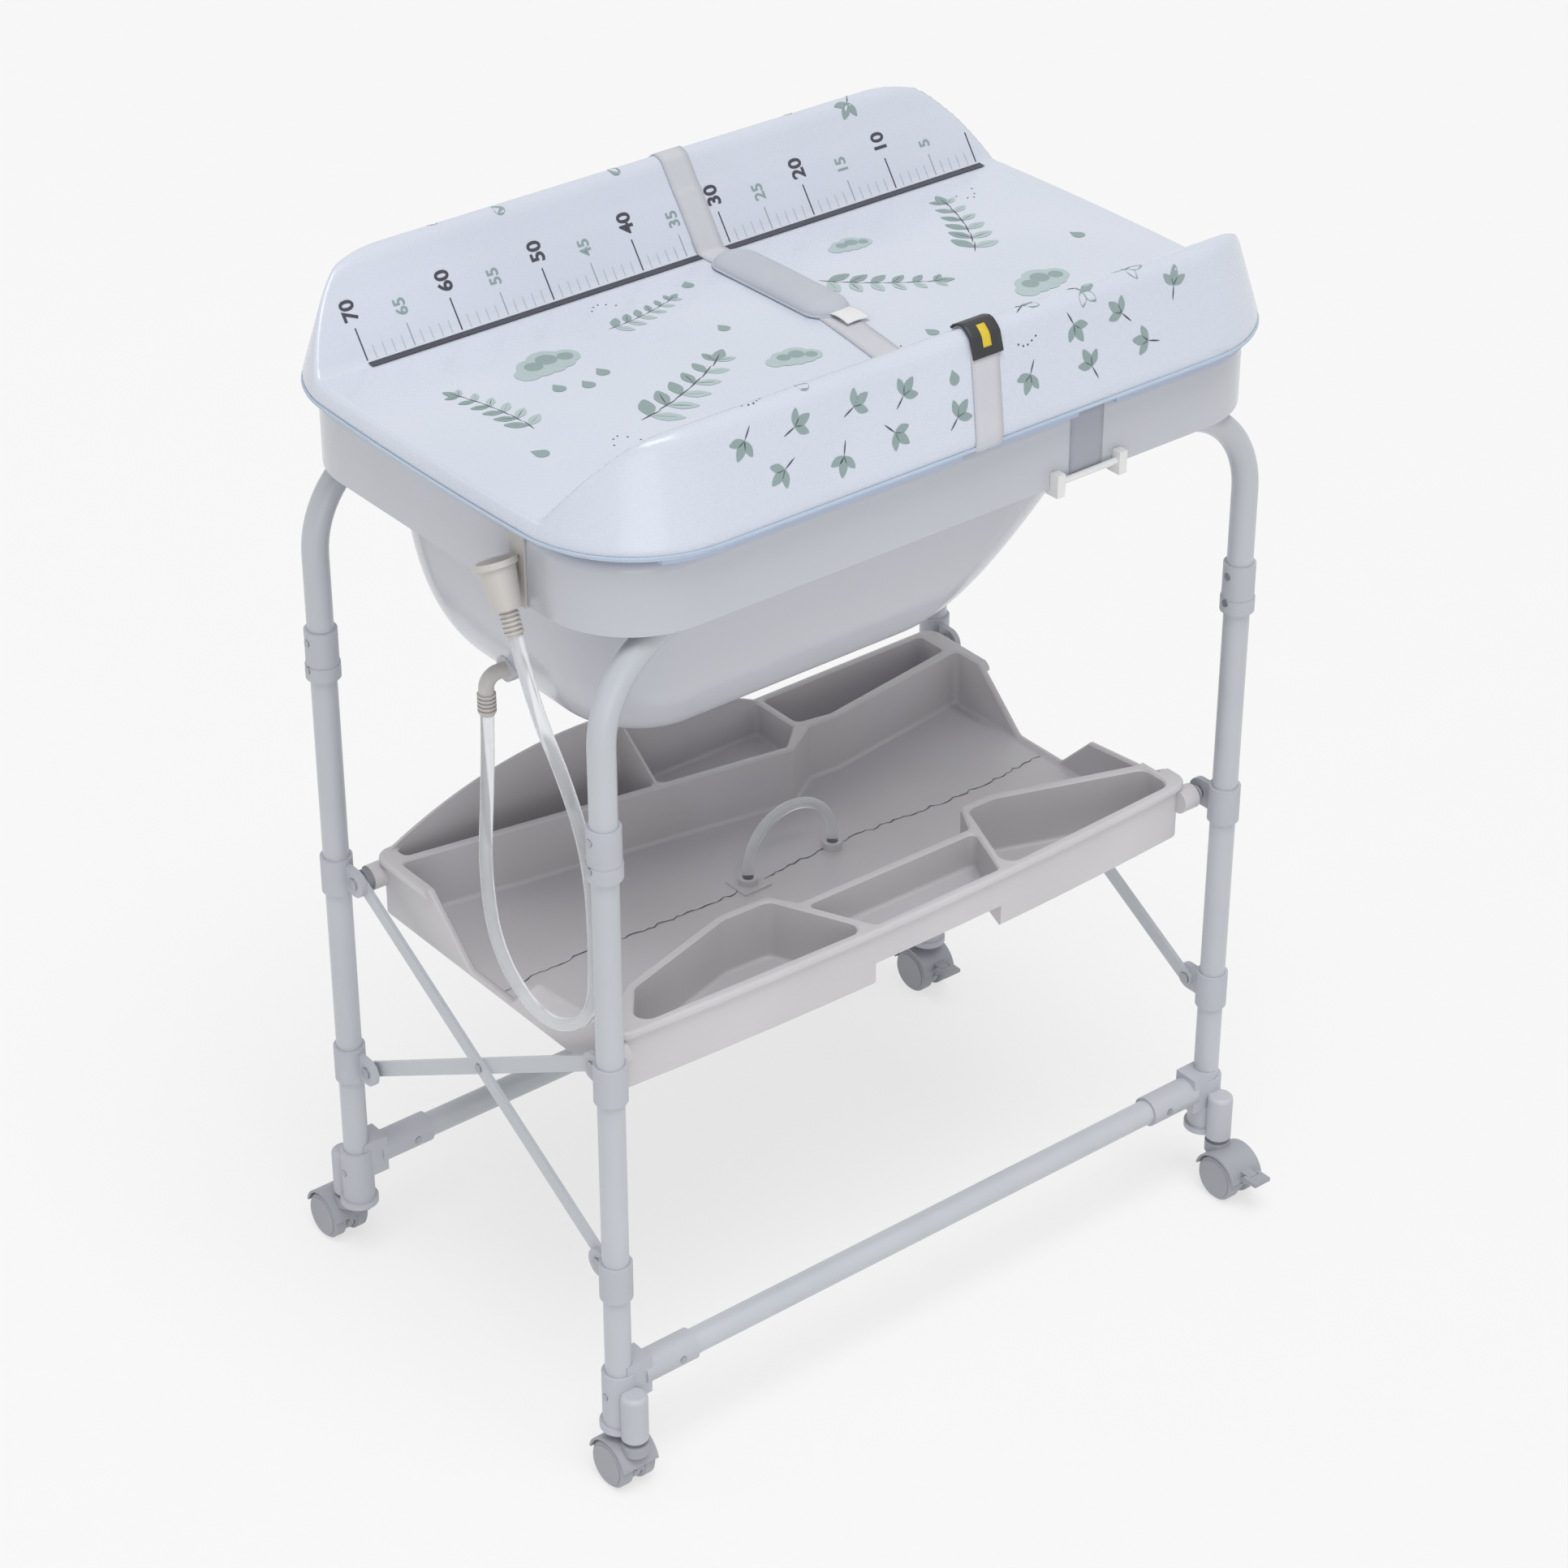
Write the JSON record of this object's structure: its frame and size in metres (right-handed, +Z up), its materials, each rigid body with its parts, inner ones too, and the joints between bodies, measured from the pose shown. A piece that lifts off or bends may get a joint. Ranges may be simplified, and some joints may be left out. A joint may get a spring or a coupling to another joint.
{
  "type": "changing table with bath tub",
  "caption": "Wheeled tube frame with a bath tub, an infant bath cushion, a padded changing top, a drain hose and a storage tray.",
  "frame": {"origin": "on the floor, midway between the four legs", "axes": "+X along the length towards the end away from the hose, +Y from the front to the back, +Z up"},
  "size_m": [0.8143, 0.5899, 1.0721],
  "materials": {
    "frame_paint": "satin powder coat, light grey with a green cast",
    "fitting_plastic": "moulded grey plastic",
    "fastener_metal": "zinc plated",
    "caster_plastic": "moulded grey plastic",
    "wheel_plastic": "moulded grey plastic with a darker ring",
    "bush_rubber": "dark soft rings",
    "tub_plastic": "smooth grey-lilac plastic",
    "tray_plastic": "warm light grey plastic",
    "clear_plastic": "clear",
    "hose_plastic": "clear soft tube",
    "cup_plastic": "beige-grey plastic",
    "cushion_fabric": "white cloth with small stars",
    "seat_fabric": "grey cloth",
    "strap_fabric": "grey webbing",
    "hook_plastic": "white plastic",
    "hanger_plastic": "moulded grey plastic",
    "pad_base_plastic": "pale blue sheet",
    "pad_vinyl": "glossy white vinyl over foam",
    "belt_fabric": "grey webbing",
    "belt_cover_fabric": "padded grey cloth",
    "buckle_plastic": "black plastic"
  },
  "bodies": {
    "frame": {"front_arch": "frame_paint", "rear_arch": "frame_paint", "front_bottom_tube": "frame_paint", "rear_bottom_tube": "frame_paint", "strut_outer_left": "frame_paint", "strut_outer_right": "frame_paint", "strut_inner_left": "frame_paint", "strut_inner_right": "frame_paint", "leg_fl": "frame_paint", "sleeve_fl": "fitting_plastic", "mid_collar_fl": "fitting_plastic", "low_collar_fl": "fitting_plastic", "corner_fitting_fl": "fitting_plastic", "leg_fr": "frame_paint", "sleeve_fr": "fitting_plastic", "mid_collar_fr": "fitting_plastic", "low_collar_fr": "fitting_plastic", "corner_fitting_fr": "fitting_plastic", "leg_bl": "frame_paint", "sleeve_bl": "fitting_plastic", "mid_collar_bl": "fitting_plastic", "low_collar_bl": "fitting_plastic", "corner_fitting_bl": "fitting_plastic", "leg_br": "frame_paint", "sleeve_br": "fitting_plastic", "mid_collar_br": "fitting_plastic", "low_collar_br": "fitting_plastic", "corner_fitting_br": "fitting_plastic", "pivot_bolts": "fastener_metal", "strut_rivets": "fastener_metal", "frame_screws": "fastener_metal", "tray": "tray_plastic", "tray_bushes": "bush_rubber", "tray_handle": "clear_plastic"},
    "tub": {"tub": "tub_plastic", "drain_elbow": "hose_plastic", "hose_connectors": "hose_plastic", "hose": "hose_plastic", "holder_cup": "cup_plastic", "cushion_back_rest": "cushion_fabric", "cushion_leg_rest": "cushion_fabric", "cushion_seat": "seat_fabric", "cushion_straps": "strap_fabric", "strap_hooks": "hook_plastic"},
    "hanger": {"pad_hanger": "hanger_plastic"},
    "pad": {"pad_base": "pad_base_plastic", "pad_cover": "pad_vinyl", "pad_belt": "belt_fabric", "belt_cover": "belt_cover_fabric", "belt_loop": "buckle_plastic"},
    "caster_fl": {"caster_hood_fl": "caster_plastic"},
    "wheels_fl": {"caster_wheels_fl": "wheel_plastic"},
    "caster_fr": {"caster_hood_fr": "caster_plastic"},
    "wheels_fr": {"caster_wheels_fr": "wheel_plastic"},
    "brake_fr": {"caster_brake_fr": "caster_plastic"},
    "caster_bl": {"caster_hood_bl": "caster_plastic"},
    "wheels_bl": {"caster_wheels_bl": "wheel_plastic"},
    "caster_br": {"caster_hood_br": "caster_plastic"},
    "wheels_br": {"caster_wheels_br": "wheel_plastic"},
    "brake_br": {"caster_brake_br": "caster_plastic"}
  },
  "joints": [
    {"name": "tub_lift", "type": "slide", "parent": "frame", "child": "tub", "axis": [0, 0, 1], "range_m": [0, 0.25]},
    {"name": "pad_swing", "type": "hinge", "parent": "tub", "child": "hanger", "pos_m": [0, 0.262, 0.945], "axis": [-1, 0, 0], "range_deg": [0, 90]},
    {"name": "pad_drop", "type": "slide", "parent": "hanger", "child": "pad", "axis": [0, 1, 0], "range_m": [0, 0.47]},
    {"name": "swivel_fl", "type": "hinge", "parent": "frame", "child": "caster_fl", "pos_m": [-0.37, -0.239, 0.06], "axis": [0, 0, 1], "continuous": true},
    {"name": "spin_fl", "type": "hinge", "parent": "caster_fl", "child": "wheels_fl", "pos_m": [-0.37, -0.221, 0.024], "axis": [1, 0, 0], "continuous": true},
    {"name": "swivel_fr", "type": "hinge", "parent": "frame", "child": "caster_fr", "pos_m": [0.37, -0.239, 0.06], "axis": [0, 0, 1], "continuous": true},
    {"name": "spin_fr", "type": "hinge", "parent": "caster_fr", "child": "wheels_fr", "pos_m": [0.37, -0.257, 0.024], "axis": [1, 0, 0], "continuous": true},
    {"name": "brake_fr", "type": "hinge", "parent": "caster_fr", "child": "brake_fr", "pos_m": [0.37, -0.2895, 0.036], "axis": [1, 0, 0], "range_deg": [0, 20]},
    {"name": "swivel_bl", "type": "hinge", "parent": "frame", "child": "caster_bl", "pos_m": [-0.37, 0.239, 0.06], "axis": [0, 0, 1], "continuous": true},
    {"name": "spin_bl", "type": "hinge", "parent": "caster_bl", "child": "wheels_bl", "pos_m": [-0.37, 0.257, 0.024], "axis": [1, 0, 0], "continuous": true},
    {"name": "swivel_br", "type": "hinge", "parent": "frame", "child": "caster_br", "pos_m": [0.37, 0.239, 0.06], "axis": [0, 0, 1], "continuous": true},
    {"name": "spin_br", "type": "hinge", "parent": "caster_br", "child": "wheels_br", "pos_m": [0.37, 0.221, 0.024], "axis": [1, 0, 0], "continuous": true},
    {"name": "brake_br", "type": "hinge", "parent": "caster_br", "child": "brake_br", "pos_m": [0.37, 0.1885, 0.036], "axis": [1, 0, 0], "range_deg": [0, 20]}
  ]
}
